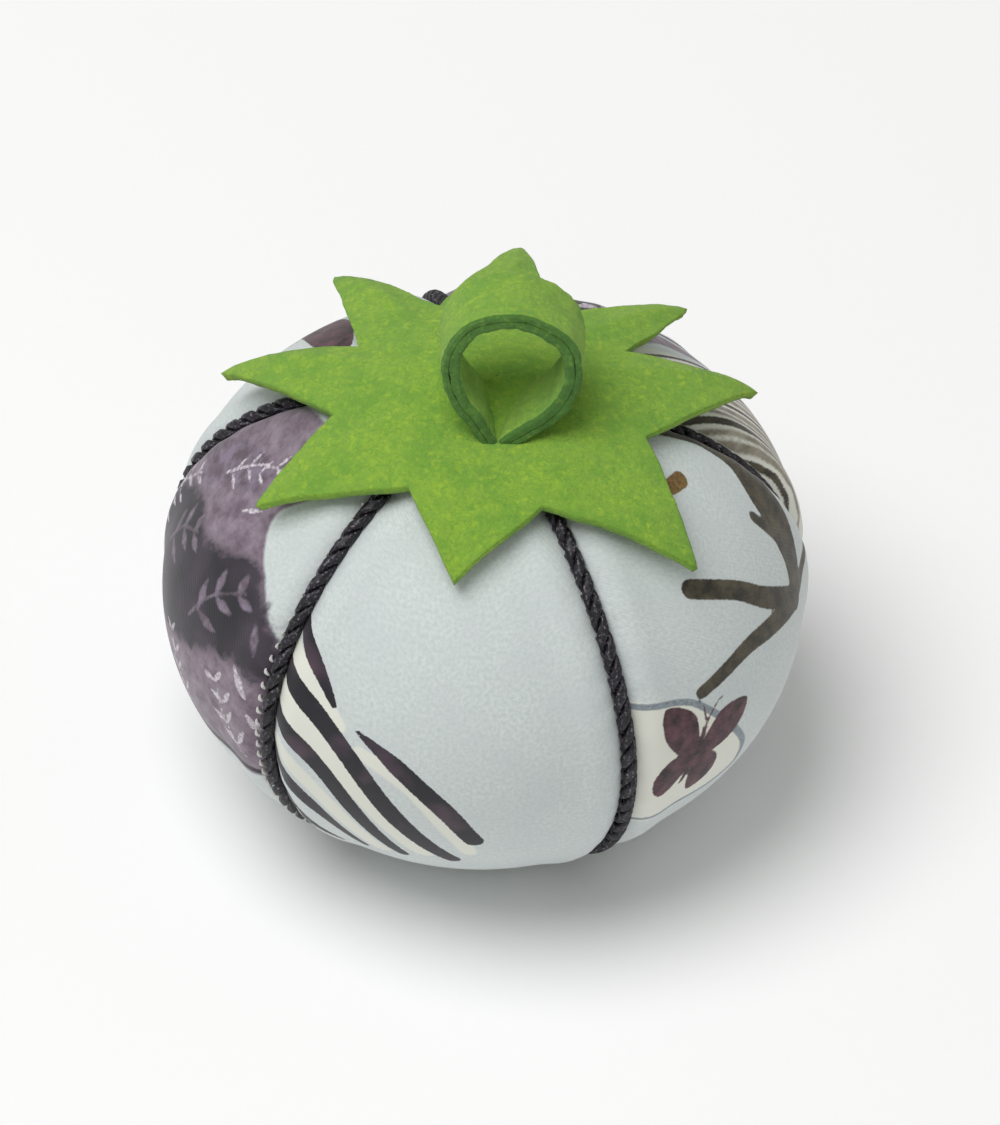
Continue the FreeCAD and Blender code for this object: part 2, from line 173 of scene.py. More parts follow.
def new_material(name):
    material = bpy.data.materials.new(name)
    material.use_nodes = True
    material.node_tree.nodes.clear()
    return material, material.node_tree


def add(tree, kind, inputs=None, out=0, **settings):
    """Adds a node, sets it up, links or fills its inputs, and returns an output."""
    made = tree.nodes.new("ShaderNode" + kind)
    for name, value in settings.items():
        setattr(made, name, value)
    for name, value in (inputs or {}).items():
        if isinstance(value, bpy.types.NodeSocket):
            tree.links.new(value, made.inputs[name])
        else:
            made.inputs[name].default_value = value
    return made.outputs[out] if made.outputs else None


def mottled(tree, under, paint, pattern, low, high, most=1.0):
    """Lays a paint over a colour: none of it where a pattern is low, most where high."""
    share = add(tree, "MapRange", {"Value": pattern, "From Min": low, "From Max": high,
                                   "To Max": most})
    return add(tree, "Mix", {0: share, 6: under, 7: paint}, 2, data_type="RGBA")


def close_material(tree, surface, height=None, depth=0.0):
    """A Principled surface with an optional bump of the given depth in millimetres."""
    inputs = dict(surface)
    if height is not None:
        inputs["Normal"] = add(tree, "Bump", {"Height": height, "Strength": 1.0,
                                              "Distance": depth * MM})
    shader = add(tree, "BsdfPrincipled", inputs)
    add(tree, "OutputMaterial", {"Surface": shader})


# How far inside a printed shape a point lies is kept in millimetres plus this much, so
# that a gore without the ink reads as far outside it.
INK_BASE = 3.0


def inked(tree, under, ink, paint, edge, rough=None):
    """Prints an ink over a colour: crisp where the kept depth crosses its base."""
    depth = add(tree, "Attribute", out=2, attribute_name="ink_" + ink)
    if rough is not None:
        depth = add(tree, "Math", {0: depth, 1: rough}, operation="ADD")
    share = add(tree, "MapRange", {"Value": depth, "From Min": INK_BASE - edge,
                                   "From Max": INK_BASE + edge},
                interpolation_type="SMOOTHSTEP")
    return add(tree, "Mix", {0: share, 6: under, 7: paint}, 2, data_type="RGBA")


def printed_sateen():
    """Cotton sateen, mercerised and printed: a soft satin gleam along its floats."""
    material, tree = new_material("printed_cotton_sateen")
    cloth = add(tree, "UVMap", uv_map="cloth")
    # Real sateen has a thread each 0.15 mm, drawn here at 0.28 mm so that it shows.
    thread = 0.28 * MM
    weave = add(tree, "TexWave", {"Vector": cloth, "Scale": 2 * math.pi / thread / 20,
                                  "Distortion": 1.2, "Detail": 1.0,
                                  "Detail Scale": 2.0}, 1,
                wave_type="BANDS", bands_direction="DIAGONAL")
    slub = add(tree, "TexNoise", {"Vector": cloth, "Scale": 1 / (0.45 * MM),
                                  "Detail": 3.0, "Roughness": 0.6})
    mottle = add(tree, "TexNoise", {"Vector": cloth, "Scale": 1 / (2.2 * MM),
                                    "Detail": 5.0, "Roughness": 0.62})
    cloud = add(tree, "TexNoise", {"Vector": cloth, "Scale": 1 / (7 * MM), "Detail": 2.0})
    ragged, feathered = [
        add(tree, "MapRange", {"Value": pattern, "From Min": 0.3, "From Max": 0.7,
                               "To Min": -reach, "To Max": reach})
        for pattern, reach in ((slub, 0.07), (mottle, 0.9))]

    ground = mottled(tree, colour("#c6cfce"), colour("#d8dfdd"), slub, 0.35, 0.65)
    ground = mottled(tree, ground, colour("#c8cfd0"), cloud, 0.35, 0.65, 0.5)
    look = inked(tree, ground, "cream", colour("#e4e5da"), 0.22)
    plum = mottled(tree, colour("#655664"), colour("#978b98"), mottle, 0.36, 0.64)
    plum = mottled(tree, plum, colour("#84717f"), slub, 0.3, 0.7, 0.5)
    look = inked(tree, look, "plum", plum, 0.25, ragged)
    # Each ink that follows is laid over those before it: its mottling, where its two
    # colours meet, the colours, how wide its edge is in millimetres and how rough.
    for ink, pattern, low, high, first, second, edge, rough in [
            ("shade", cloud, 0.4, 0.6, "#29272d", "#403844", 0.8, feathered),
            ("haze", mottle, 0.4, 0.6, "#62555f", "#85798a", 0.2, ragged),
            ("lilac", slub, 0.35, 0.65, "#a597a6", "#dcd8dd", 0.12, ragged),
            ("slate", slub, 0.35, 0.65, "#76818a", "#9aa3a9", 0.1, ragged),
            ("bark", mottle, 0.38, 0.62, "#2e2b22", "#57503f", 0.1, ragged),
            ("tan", slub, 0.35, 0.65, "#5c4524", "#8f7140", 0.1, ragged),
            ("dust", mottle, 0.35, 0.65, "#7b7465", "#aaa392", 0.2, ragged),
            ("wine", mottle, 0.38, 0.62, "#2c1a1f", "#65404a", 0.1, ragged),
            ("soot", cloud, 0.54, 0.8, "#222128", "#5f4a57", 0.07, ragged)]:
        paint = mottled(tree, colour(first), colour(second), pattern, low, high)
        look = inked(tree, look, ink, paint, edge, rough)

    relief = add(tree, "Math", {0: weave, 1: slub}, operation="ADD")
    close_material(tree, {"Base Color": look, "Roughness": 0.62, "Sheen Weight": 0.18,
                          "Sheen Roughness": 0.45, "Specular IOR Level": 0.35},
                   relief, 0.009)
    return material


def wool_felt(name, light, middle, dark, deep):
    """Pressed wool felt: no weave, short fibres lying every way, a dull bloom."""
    material, tree = new_material(name)
    spot = add(tree, "TexCoord", out=3)
    fibres = add(tree, "TexNoise", {"Vector": spot, "Scale": 1 / (0.7 * MM),
                                    "Detail": 6.0, "Roughness": 0.8,
                                    "Distortion": 1.4})
    tufts = add(tree, "TexNoise", {"Vector": spot, "Scale": 1 / (2.0 * MM),
                                   "Detail": 6.0, "Roughness": 0.78})
    flecks = add(tree, "TexNoise", {"Vector": spot, "Scale": 1 / (0.9 * MM),
                                    "Detail": 3.0, "Roughness": 0.6})
    cloud = add(tree, "TexNoise", {"Vector": spot, "Scale": 1 / (5 * MM), "Detail": 5.0,
                                   "Roughness": 0.65})
    look = mottled(tree, colour(dark), colour(middle), fibres, 0.36, 0.58)
    look = mottled(tree, look, colour(deep), tufts, 0.42, 0.6, 0.7)
    look = mottled(tree, look, colour(dark), cloud, 0.44, 0.6, 0.6)
    look = mottled(tree, look, colour(light), flecks, 0.54, 0.72, 0.6)
    relief = add(tree, "Math", {0: fibres, 1: tufts}, operation="ADD")
    close_material(tree, {"Base Color": look, "Roughness": 0.95, "Sheen Weight": 0.12,
                          "Sheen Roughness": 0.7, "Specular IOR Level": 0.15},
                   relief, 0.2)
    return material


def spun_yarn(name, dark, light, twist, gleam, turns_along):
    """Mercerised yarn: fibres wound round each ply, dark, with a little gloss and painted
    glints.
    """
    material, tree = new_material(name)
    along = add(tree, "UVMap", uv_map="along")
    slanted = add(tree, "Mapping", {"Vector": along, "Scale": (turns_along, twist, 1.0)})
    fibres = add(tree, "TexWave", {"Vector": slanted, "Scale": 1.0, "Distortion": 1.0,
                                   "Detail": 2.0, "Detail Scale": 1.5}, 1,
                 wave_type="BANDS", bands_direction="DIAGONAL")
    spot = add(tree, "TexCoord", out=3)
    fluff = add(tree, "TexNoise", {"Vector": spot, "Scale": 1 / (0.35 * MM),
                                   "Detail": 4.0, "Roughness": 0.7})
    # The light colour goes where the fibre bands and the fluff are both high: a painted
    # glint.
    painted_glint = add(tree, "MapRange", {"Value": fibres, "From Min": 0.35, "From Max": 0.9,
                                   "To Min": 0.2})
    patchy = add(tree, "MapRange", {"Value": fluff, "From Min": 0.52, "From Max": 0.74})
    share = add(tree, "Math", {0: painted_glint, 1: patchy}, operation="MULTIPLY")
    look = mottled(tree, colour(dark), colour(light), share, 0, 1)
    relief = add(tree, "Math", {0: fibres, 1: fluff}, operation="ADD")
    close_material(tree, {"Base Color": look, "Roughness": gleam, "Sheen Weight": 0.04,
                          "Sheen Roughness": 0.3}, relief, 0.04)
    return material


def carded_fibre():
    """Polyester stuffing: a matt, cloudy mass of crimped fibre."""
    material, tree = new_material("carded_polyester_fibre")
    spot = add(tree, "TexCoord", out=3)
    crimp = add(tree, "TexNoise", {"Vector": spot, "Scale": 1 / (1.2 * MM),
                                   "Detail": 7.0, "Roughness": 0.8, "Distortion": 2.5})
    look = mottled(tree, colour("#d9d5ca"), colour("#f3f1ea"), crimp, 0.3, 0.7)
    close_material(tree, {"Base Color": look, "Roughness": 0.95, "Sheen Weight": 0.3},
                   crimp, 0.4)
    return material


def waxed_twine():
    """Waxed linen twine: tan, slightly glossy, with a visible lay."""
    material, tree = new_material("waxed_linen_twine")
    spot = add(tree, "TexCoord", out=3)
    lay = add(tree, "TexWave", {"Vector": spot, "Scale": 1 / (3 * MM),
                                "Distortion": 2.0, "Detail": 2.0}, 1,
              wave_type="BANDS", bands_direction="DIAGONAL")
    look = mottled(tree, colour("#a89770"), colour("#d8cba6"), lay, 0, 1)
    close_material(tree, {"Base Color": look, "Roughness": 0.5}, lay, 0.1)
    return material


def pale_paper():
    """A seamless sheet of white paper to stand on."""
    material, tree = new_material("white_card")
    close_material(tree, {"Base Color": colour("#ffffff"), "Roughness": 0.9})
    return material


SATEEN = printed_sateen()
FELT = wool_felt("green_wool_felt", "#afce3c", "#98c03a", "#6da236", "#86b23e")
# Darker felt for cut edges: partly the cut fibre ends, partly painted shade on rims that face
# forwards and down.
FELT_EDGE_AND_SHADE = wool_felt("green_felt_cut_edge_and_painted_shade", "#7fa83e", "#5c8d38", "#426f2a", "#4f7d2e")
# Each yarn's second colour is the painted glint along its fibres.
CORD_YARN = spun_yarn("mercerised_black_cord", "#131016", "#a79eb1", 3.0, 0.5, 60.0)
WHITE_THREAD = spun_yarn("white_cotton_thread", "#d8d8d4", "#fbfbf8", 2.0, 0.6, 4.0)
DARK_THREAD = spun_yarn("dark_cotton_thread", "#29262c", "#6d6672", 2.0, 0.6, 4.0)
GREEN_THREAD = spun_yarn("green_cotton_thread", "#43702a", "#86b04c", 2.0, 0.6, 4.0)


# ---- the stuffed cover -------------------------------------------------------------------

ACROSS = 24             # faces across one gore before it is refined
DOWN = 52               # faces from pole to pole
SLACK = 0.9             # crests start this far in, and the stuffing swells them out
SWELL_LIMIT = 2.4       # no point moves further than this
SIM_SCALE = 10          # the cloth is solved ten times larger, which keeps it steady
SIM_FRAMES = 20
CLOTH_THICK = 0.4
# How deep each seam is drawn in by its cord, how far the cloth beside it stands up, and
# how high the small gathers between the stitches are.
CREASE = {"front_left": 0.5, "front_right": 0.5, "right": 1.7,
          "back_right": 0.5, "back_left": 0.5, "left": 0.6}
PUFF = 0.5
RIPPLE = 0.06
STITCH_PITCH = 1.6
FLAT = PATCH_TOP + 0.15 - GIRTH_Z   # the flat underside, from the girth


def settled(point):
    """Eases the underside flat where the cushion rests on its patch."""
    if point.z < FLAT + 1:
        point.z = FLAT + math.exp(point.z - FLAT - 1)
    return point


def cover_blank(inset):
    """All six gores sewn together into one shell."""
    pole = math.degrees(math.acos(POLE_RADIUS / VALLEY))
    bm = bmesh.new()
    for start, stop in zip(STARTS, STOPS):
        def place(column, row, start=start, stop=stop):
            point = on_body(start + (stop - start) * column, pole * (2 * row - 1),
                            CREST - inset)
            return settled(point) + UP * GIRTH_Z
        woven(bm, ACROSS, DOWN, place)
    bmesh.ops.remove_doubles(bm, verts=bm.verts, dist=2e-6)
    return finished("cover_blank", bm)


def azimuth_of(x, y):
    return math.degrees(math.atan2(x, -y))


def seam_gaps(azimuth):
    """Degrees from each seam, in the seams' own order."""
    return [abs((azimuth - seam + 180) % 360 - 180) for seam in STARTS]


def on_seam(spot):
    return min(seam_gaps(azimuth_of(spot.x, spot.y))) < 0.05


def inflate(blank):
    """Swells the sewn cover by cloth simulation, held along its seams."""
    held = blank.vertex_groups.new(name="held")
    for vert in blank.data.vertices:
        near_pole = math.hypot(vert.co.x, vert.co.y) < (POLE_RADIUS + 0.6) * MM
        if on_seam(vert.co) or near_pole:
            held.add([vert.index], 1.0, "REPLACE")
        vert.co *= SIM_SCALE
    cloth = blank.modifiers.new("stuffed", "CLOTH")
    rules = cloth.settings
    rules.quality = 10
    rules.mass = 0.3
    rules.tension_stiffness = 25
    rules.compression_stiffness = 25
    rules.shear_stiffness = 12
    rules.bending_stiffness = 0.6
    rules.use_pressure = True
    rules.uniform_pressure_force = 4
    rules.shrink_min = -0.02
    rules.vertex_group_mass = "held"
    rules.effector_weights.gravity = 0
    cloth.point_cache.frame_start = 1
    cloth.point_cache.frame_end = SIM_FRAMES
    for number in range(1, SIM_FRAMES + 1):
        bpy.context.scene.frame_set(number)
    solved = blank.evaluated_get(bpy.context.evaluated_depsgraph_get())
    ends = [vert.co / SIM_SCALE for vert in solved.data.vertices]
    blank.modifiers.remove(cloth)
    bpy.context.scene.frame_set(1)
    return ends


def stuffed_cover():
    """The cover blown up by its filling, no point further than the limit."""
    blank = cover_blank(SLACK)
    start = [vert.co.copy() for vert in blank.data.vertices]
    ends = inflate(blank)
    for vert, here, there in zip(blank.data.vertices, start, ends):
        move = there - here
        if move.length > SWELL_LIMIT * MM:
            move *= SWELL_LIMIT * MM / move.length
        spot = (here + move) / MM - UP * GIRTH_Z
        vert.co = (settled(spot) + UP * GIRTH_Z) * MM
    return blank


def refined(blank, levels):
    """A finer copy in which the seams stay sharp."""
    bm = bmesh.new()
    bm.from_mesh(blank.data)
    crease = bm.edges.layers.float.new("crease_edge")
    for edge in bm.edges:
        if all(on_seam(vert.co) for vert in edge.verts):
            edge[crease] = 1.0
    bm.to_mesh(blank.data)
    bm.free()
    smooth = blank.modifiers.new("refine", "SUBSURF")
    smooth.levels = smooth.render_levels = levels
    solved = blank.evaluated_get(bpy.context.evaluated_depsgraph_get())
    return bpy.data.meshes.new_from_object(solved)


# ---- the print -----------------------------------------------------------------------------

# A gore's cloth is measured from the middle of its girth: across towards the right and
# up along the crest. Each shape below is (ink, kind, points, widths), in millimetres.
# A stroke is a line with a width at each point, and a patch is a closed outline.

def stroke(ink, points, *widths):
    return ink, "stroke", points, widths


def patch(ink, *points):
    return ink, "patch", points, ()


def leaf(ink, root, tip, width):
    """A pointed leaf from its root to its tip."""
    middle = [(a + b) / 2 for a, b in zip(root, tip)]
    return stroke(ink, [root, middle, tip], 0.1, width, 0.1)


def sprig(ink, root, tip, leaves, length, width):
    """A curved stem with paired leaves."""
    root, tip = np.array(root, float), np.array(tip, float)
    along = (tip - root) / np.linalg.norm(tip - root)
    side = np.array([-along[1], along[0]])
    shapes = [stroke(ink, [root, (root + tip) / 2 + side, tip], 0.35, 0.3, 0.15)]
    for n in range(leaves):
        base = root + (tip - root) * (n + 0.6) / leaves + side * 0.8 * (n % 2)
        for hand in (-1, 1):
            end = base + (along * 0.75 + side * hand) * length * (1 - 0.4 * n / leaves)
            shapes.append(leaf(ink, base, end, width))
    return shapes


def butterfly(ink, x, y, size, turn):
    """Four rounded wings round a thin body, in plain outline."""
    turn = math.radians(turn)
    spin = np.array([[math.cos(turn), -math.sin(turn)], [math.sin(turn), math.cos(turn)]])

    def at(*points):
        return [tuple(spin @ np.array(p) * size + (x, y)) for p in points]
    shapes = [stroke(ink, at((0, -0.6), (0, 0), (0, 0.62)), 0.5, 0.9, 0.5)]
    for hand in (-1, 1):
        shapes.append(patch(ink, *at((hand * 0.04, 0.1), (hand * 0.3, 0.85),
                                     (hand * 0.95, 1.0), (hand * 0.9, 0.45),
                                     (hand * 0.45, 0.06))))
        shapes.append(patch(ink, *at((hand * 0.04, 0.02), (hand * 0.6, -0.05),
                                     (hand * 0.75, -0.5), (hand * 0.42, -0.85),
                                     (hand * 0.12, -0.5))))
        shapes.append(stroke(ink, at((0, 0.6), (hand * 0.12, 0.95), (hand * 0.3, 1.15)),
                             0.3, 0.25, 0.2))
    return shapes


PRINT = {
    "front": [
        stroke("cream", [(-23, 14.5), (-17, 11.2), (-11.5, 6.5)], 3, 3.2, 1.5),
        stroke("cream", [(-23, 9.3), (-15.4, 4.6), (-8.5, -1.5), (-2, -11)],
               3.4, 3.2, 3.6, 2.6),
        stroke("cream", [(-9, 4.2), (-3, 1), (1.2, -5), (3, -10)], 1.5, 2.4, 2.6, 1.6),
        stroke("cream", [(-20, 1), (-12.8, -5.8), (-7, -13)], 1.6, 2.4, 2),
        stroke("soot", [(-19.5, 18), (-15.4, 13.2), (-12.4, 8.6)], 2.0, 2.1, 0.8),
        stroke("soot", [(-23, 12.5), (-16, 8), (-10.3, 3), (-4.8, -4.4), (1, -12.5)],
               2.6, 2.6, 2.5, 2.5, 1.8),
        stroke("soot", [(-23, 6), (-14.8, 0.8), (-10.2, -4.4), (-4.5, -13)],
               2.3, 2.4, 2.3, 1.4),
        stroke("soot", [(-23, 0.5), (-19.4, -3), (-14.7, -7.8), (-9, -14)],
               1.9, 2.0, 1.9, 1.0),
        stroke("soot", [(-9.9, 6.9), (-4.8, 3.6), (0.6, -1.8), (3.6, -7)],
               0.1, 2.2, 2.4, 2.2),
        stroke("soot", [(-21, -4.5), (-15.6, -12.7), (-12, -17)], 1.2, 1.2, 0.6),
    ],
    "front_left": [
        patch("plum", (4.5, 28), (3.7, 22.5), (6.5, 18.8), (11, 15.6), (16, 11.8), (22, 9),
              (22, 0), (19, -7.5), (8, -8.5), (-6, -12), (-22, -10), (-25, 8), (-18, 20),
              (-4, 31)),
        patch("shade", (-15, 4), (-13, 10.5), (-7, 14), (-1, 13.5), (4, 16), (7.5, 17),
              (12, 14.5), (16.3, 11.4), (18, 6.5), (13, 6.5), (9, 5.5), (5, 3), (0, 1),
              (-7, -1)),
        patch("haze", (-14, 15), (-9, 21), (-3, 24), (-1, 21), (-6, 18), (-9, 14)),
        *sprig("haze", (3, 6), (9, 14), 3, 3.2, 1.2),
        *sprig("haze", (-9, 6), (-3, 12.5), 3, 3.0, 1.1),
        leaf("haze", (12.5, 12.5), (14.6, 9), 1.1),
        *sprig("lilac", (-7, 18), (1, 26.5), 5, 2.0, 0.5),
        *sprig("lilac", (-16, 3), (-11, 14), 5, 2.2, 0.6),
        *sprig("lilac", (15.5, -5), (10.5, 3.5), 4, 2.4, 0.8),
        *sprig("lilac", (4, -6), (0, 2), 4, 2.0, 0.6),
        leaf("lilac", (0, 19), (2.2, 21.2), 0.6),
        leaf("lilac", (12.5, 6.5), (16, 3.5), 1.2),
        leaf("lilac", (16, 2), (18.5, -1), 1.0),
        stroke("soot", [(-6, -11.5), (3.5, -9.3), (12.9, -7.2), (21, -8.5)],
               1.2, 1.3, 1.1, 0.5),
        *sprig("bark", (-12, -26), (-2, -16), 4, 3.0, 0.9),
    ],
    "front_right": [
        patch("cream", (-24, 9), (-14.3, 6.8), (-10.7, 3.8), (-5, -4.7), (-4.4, -8.8),
              (-8.1, -9.6), (-13.7, -9.4), (-24, -9.6)),
        stroke("slate", [(-24, 9.4), (-14.3, 6.9), (-10.2, 3.6), (-4.7, -4.7),
                         (-4.3, -9.2)], 0.8, 0.8, 0.9, 0.9, 0.7),
        stroke("slate", [(-4.3, -9.2), (-8.1, -9.8), (-13.7, -9.6), (-24, -9.7)],
               0.7, 0.6, 0.6, 0.6),
        *butterfly("wine", -12.6, -1.5, 6.3, -24),
        stroke("bark", [(7, 31), (11, 25.5), (12.9, 20.5), (13, 16), (12.6, 11),
                        (11.8, 7.5), (9.5, 4.5)], 1.6, 2.2, 3.0, 4.6, 5.2, 4.6, 3.2),
        stroke("bark", [(24, 8), (16, 4.5), (9, 4.5)], 1.2, 1.4, 2.0),
        stroke("bark", [(9, 4.6), (3.1, 9.5), (-0.4, 13.2), (-5.2, 16.9)],
               2.6, 2.4, 2.2, 2.4),
        stroke("bark", [(9, 4.6), (1.9, 6.4), (-3.2, 7.2), (-10.6, 6.2)],
               2.8, 2.3, 1.9, 1.5),
        stroke("bark", [(9.0, 15.6), (10.5, 12.2), (12, 9.2)], 1.2, 1.5, 2.0),
        stroke("tan", [(2.4, 26.0), (4.2, 25.4)], 1.9, 2.0),
        *sprig("haze", (6, -20), (12, -8), 4, 3.0, 1.0),
    ],
    "back_right": [
        patch("cream", (-18, 30), (-4, 33), (3, 26), (1.5, 17), (0, 8), (-4, -3),
              (-12, -6), (-18, 6)),
        *[stroke("dust" if n % 3 else "bark",
                 [(-12 + 1.1 * n, 31), (-12 + 1.2 * n, 20 - n / 2),
                  (-12.5 + 1.1 * n, 10 - 1.2 * n), (-15 + 1.2 * n, 2 - n)],
                 0.4, 0.6 + 0.35 * (n % 2), 0.6 + 0.3 * (n % 3), 0.2) for n in range(13)],
        stroke("plum", [(2.3, 31), (5.9, 22.4), (5.2, 16), (6, 8), (9, 0), (9, -10)],
               1.5, 2.4, 2.6, 3, 3, 1),
        stroke("soot", [(4.5, 30), (8, 22.4), (7.6, 16), (8.6, 8)], 0.8, 1.0, 0.9, 0.5),
        *sprig("slate", (-8, -18), (-2, -6), 5, 3.0, 1.0),
        *sprig("wine", (10, -2), (12, -14), 4, 2.6, 0.9),
    ],
    "back": [
        patch("plum", (-18, 30), (-17, 8), (-12, -4), (0, -9), (12, -3), (17, 10),
              (14, 26), (2, 33)),
        patch("shade", (-12, 30), (-12.5, 15), (-8, 5), (1, 0), (9, 8), (7, 22), (0, 31)),
        *sprig("lilac", (-4.5, 15), (-10, 27), 5, 3.4, 1.1),
        *sprig("lilac", (4, 6), (2, 20), 5, 3.0, 1.0),
        *sprig("haze", (-6, 4), (-10, 14), 4, 3.0, 1.1),
        *sprig("bark", (2, -24), (6, -13), 4, 3.0, 0.9),
    ],
    "back_left": [
        patch("wine", (-1.8, 14.2), (-4.9, 16), (-2.5, 23.7), (2.1, 29), (3.3, 24.7),
              (1, 19)),
        stroke("bark", [(1.7, 12.4), (1.3, 15), (0.4, 17.3)], 0.5, 0.4, 0.3),
        stroke("soot", [(-24, 2), (-12, 1), (-2, -4), (6, -12)], 1.2, 1.4, 1.4, 0.5),
        stroke("soot", [(-24, -4), (-14, -5), (-6, -10), (-1, -16)], 1.0, 1.3, 1.2, 0.4),
        *sprig("slate", (14, -12), (9, 4), 5, 3.4, 1.1),
        *butterfly("haze", -13, 11, 4.5, 18),
    ],
}


def stroke_depth(spots, line, widths):
    """How far inside a stroke each point lies; negative outside."""
    line = smooth_line(line)
    widths = np.interp(np.linspace(0, 1, len(line)), np.linspace(0, 1, len(widths)),
                       widths)
    best = np.full(len(spots), -INK_BASE)
    for a, b, wa, wb in zip(line, line[1:], widths, widths[1:]):
        run = b - a
        share = np.clip((spots - a) @ run / max(run @ run, 1e-9), 0, 1)
        gap = np.linalg.norm(spots - a - share[:, None] * run, axis=1)
        best = np.maximum(best, (wa + (wb - wa) * share) / 2 - gap)
    return best


def patch_depth(spots, outline):
    """How far inside a closed outline each point lies; negative outside."""
    outline = smooth_line(outline, closed=True)
    gap = np.full(len(spots), 1e9)
    inside = np.zeros(len(spots), bool)
    for a, b in zip(outline, np.roll(outline, -1, axis=0)):
        run = b - a
        share = np.clip((spots - a) @ run / max(run @ run, 1e-9), 0, 1)
        gap = np.minimum(gap, np.linalg.norm(spots - a - share[:, None] * run, axis=1))
        crossing = (a[1] > spots[:, 1]) != (b[1] > spots[:, 1])
        slope = run[0] / run[1] if abs(run[1]) > 1e-9 else 0.0
        inside ^= crossing & (spots[:, 0] < a[0] + (spots[:, 1] - a[1]) * slope)
    return np.where(inside, gap, -gap)


def arc_lengths(reach, rise, count=181):
    """Angles from 0 to 90 degrees round an oval, and the arc length up to each."""
    angles = np.radians(np.linspace(0, 90, count))
    steps = np.hypot(reach * np.diff(np.cos(angles)), rise * np.diff(np.sin(angles)))
    return angles, np.concatenate([[0], np.cumsum(steps)])


def cloth_spots(mesh, index):
    """Each vertex of a gore in its cloth's own flat millimetres."""
    flat = np.empty(len(mesh.vertices) * 3)
    mesh.vertices.foreach_get("co", flat)
    x, y, z = flat.reshape(-1, 3).T / MM
    middle = (STARTS[index] + STOPS[index]) / 2
    off = (np.degrees(np.arctan2(x, -y)) - middle + 180) % 360 - 180
    reach = np.hypot(x, y)
    height = z - GIRTH_Z
    rise = np.where(height > 0, CROWN_RISE, BELLY_DROP)
    latitude = np.arctan2(height / rise, reach / (CREST - 0.5))
    up = [np.interp(np.abs(latitude), *arc_lengths(CREST, r))
          for r in (CROWN_RISE, BELLY_DROP)]
    run = np.where(height > 0, up[0], -up[1])
    return np.stack([np.radians(off) * CREST * np.cos(latitude), run], axis=1)


def print_cloth(mesh, index):
    """Keeps the flat cloth as a UV map and each ink's depth as an attribute."""
    spots = cloth_spots(mesh, index)
    sheet = mesh.uv_layers.get("along") or mesh.uv_layers.new(name="along")
    sheet.name = "cloth"
    corners = np.empty(len(mesh.loops), int)
    mesh.loops.foreach_get("vertex_index", corners)
    sheet.data.foreach_set("uv", (spots[corners] * MM).ravel())
    depths = {}
    for ink, kind, points, widths in PRINT[GORES[index]]:
        depth = (stroke_depth(spots, points, widths) if kind == "stroke"
                 else patch_depth(spots, points))
        depths[ink] = np.maximum(depths.get(ink, -INK_BASE), depth)
    for ink, depth in depths.items():
        kept = mesh.attributes.new("ink_" + ink, "FLOAT", "POINT")
        kept.data.foreach_set("value", np.clip(depth, -INK_BASE, INK_BASE) + INK_BASE)


def split_gore(cover, index):
    """One gore's faces of the cover, as a piece of its own."""
    name = "gore_cloth_" + GORES[index]
    middle = (STARTS[index] + STOPS[index]) / 2
    half = (STOPS[index] - STARTS[index]) / 2
    bm = bmesh.new()
    bm.from_mesh(cover)
    others = []
    for face in bm.faces:
        spot = face.calc_center_median()
        off = (azimuth_of(spot.x, spot.y) - middle + 180) % 360 - 180
        if abs(off) > half:
            others.append(face)
    bmesh.ops.delete(bm, geom=others, context="FACES")
    piece = finished(name, bm)
    print_cloth(piece.data, index)
    return piece


def facing_out(piece):
    """Turns a shell's faces away from the cushion's middle."""
    bm = bmesh.new()
    bm.from_mesh(piece.data)
    middle = Vector((0, 0, GIRTH_Z)) * MM
    inward = [f for f in bm.faces if f.normal.dot(f.calc_center_median() - middle) < 0]
    bmesh.ops.reverse_faces(bm, faces=inward)
    bm.to_mesh(piece.data)
    bm.free()


def thicken(piece, thickness, offset, rim=0):
    """Gives a shell its cloth's thickness."""
    wall = piece.modifiers.new("thickness", "SOLIDIFY")
    wall.thickness = thickness * MM
    wall.offset = offset
    wall.material_offset_rim = rim


def creased(mesh):
    """Draws each seam in and lets the cloth stand up round beside it."""
    names = list(SEAMS)
    for vert in mesh.vertices:
        spot = vert.co / MM - UP * GIRTH_Z
        azimuth = azimuth_of(spot.x, spot.y)
        gaps = seam_gaps(azimuth)
        nearest = min(range(6), key=gaps.__getitem__)
        reach = math.hypot(spot.x, spot.y)
        side = math.radians(gaps[nearest]) * reach
        if side > 10:
            continue
        fade = step(reach, 6, 12) * step(spot.z, FLAT + 0.5, FLAT + 5)
        sink = CREASE[names[nearest]] * math.exp(-(side / 1.5) ** 2)
        puff = PUFF * math.exp(-((side - 3.4) / 2.2) ** 2)
        ripple = RIPPLE * math.exp(-((side - 1.8) / 1.2) ** 2) * math.sin(
            spot.z * 2 * math.pi / STITCH_PITCH / 2
            + 2 * wobble(spot.z, azimuth / 8, 0, 5.0))
        vert.co += spot.normalized() * (puff - sink + ripple) * fade * MM
    return mesh


def make_cover():
    blank = stuffed_cover()
    cover = creased(refined(blank, 2))
    for index, name in enumerate(GORES):
        piece = split_gore(cover, index)
        facing_out(piece)
        thicken(piece, CLOTH_THICK, -1)
        keep(piece, "printed_cotton", [SATEEN], "gore_panel_" + name)
    return blank


